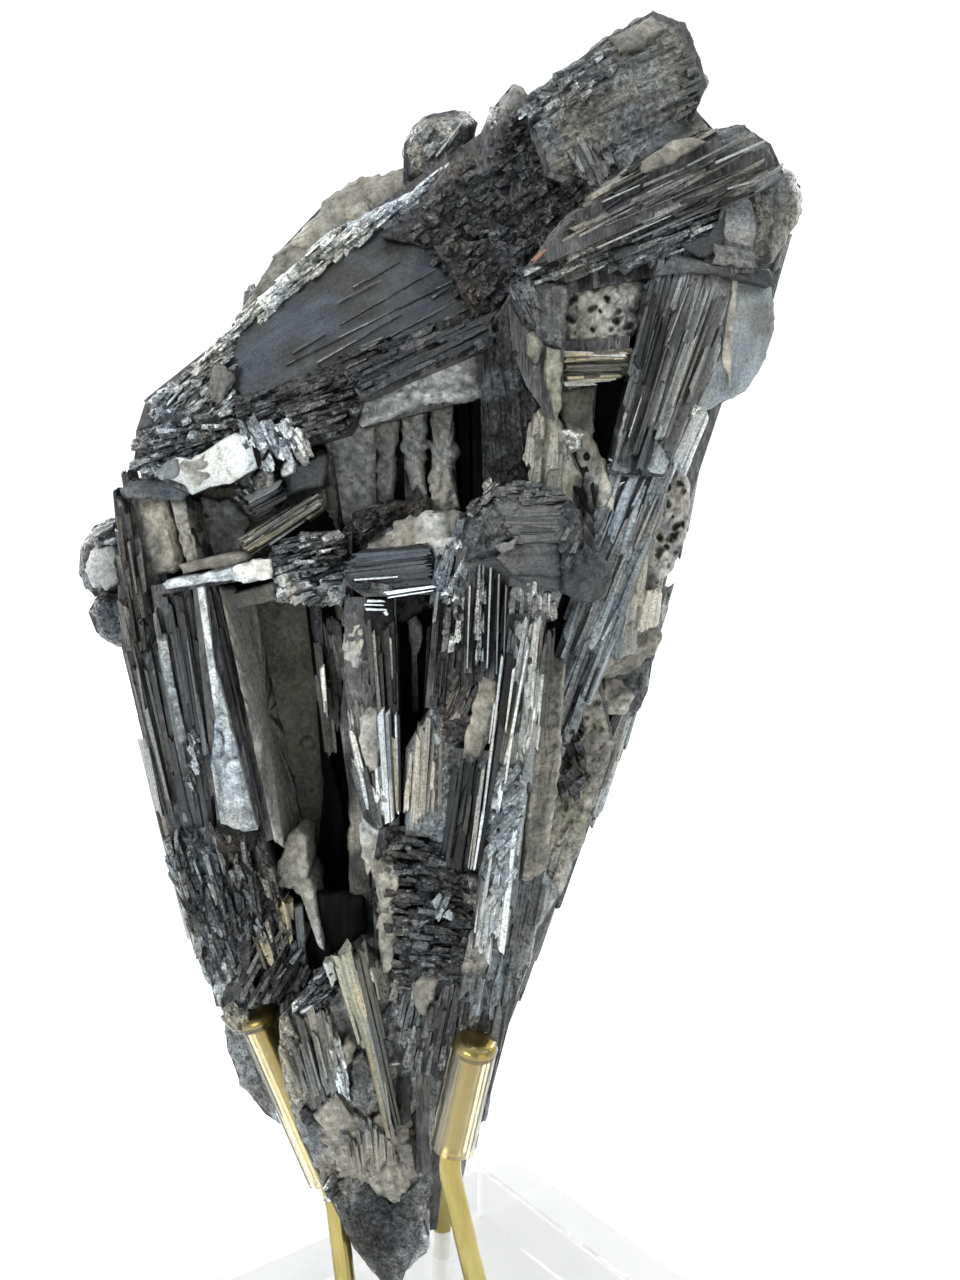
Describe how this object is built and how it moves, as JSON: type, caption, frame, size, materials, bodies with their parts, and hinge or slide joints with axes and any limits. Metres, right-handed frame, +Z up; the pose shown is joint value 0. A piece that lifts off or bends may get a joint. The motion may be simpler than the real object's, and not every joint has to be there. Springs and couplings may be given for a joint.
{
  "type": "stibnite crystal cluster",
  "caption": "Metallic grey stibnite crystal cluster, pointed end down, held upright by sleeved brass rods in a clear square acrylic base.",
  "frame": {"origin": "centre of the acrylic base's underside", "axes": "+Z up, the cluster's front faces -Y"},
  "size_m": [0.1143, 0.1044, 0.2377],
  "materials": {
    "stibnite": "satin",
    "brass": "polished",
    "clear_vinyl": "gloss",
    "clear_acrylic": "polished"
  },
  "bodies": {
    "root": {"stibnite_cluster": "stibnite", "acrylic_base": "clear_acrylic", "prong_front_right": "brass", "prong_front_left": "brass", "prong_back": "brass", "sleeve_front_right": "clear_vinyl", "sleeve_front_left": "clear_vinyl", "sleeve_back": "clear_vinyl"}
  },
  "joints": []
}
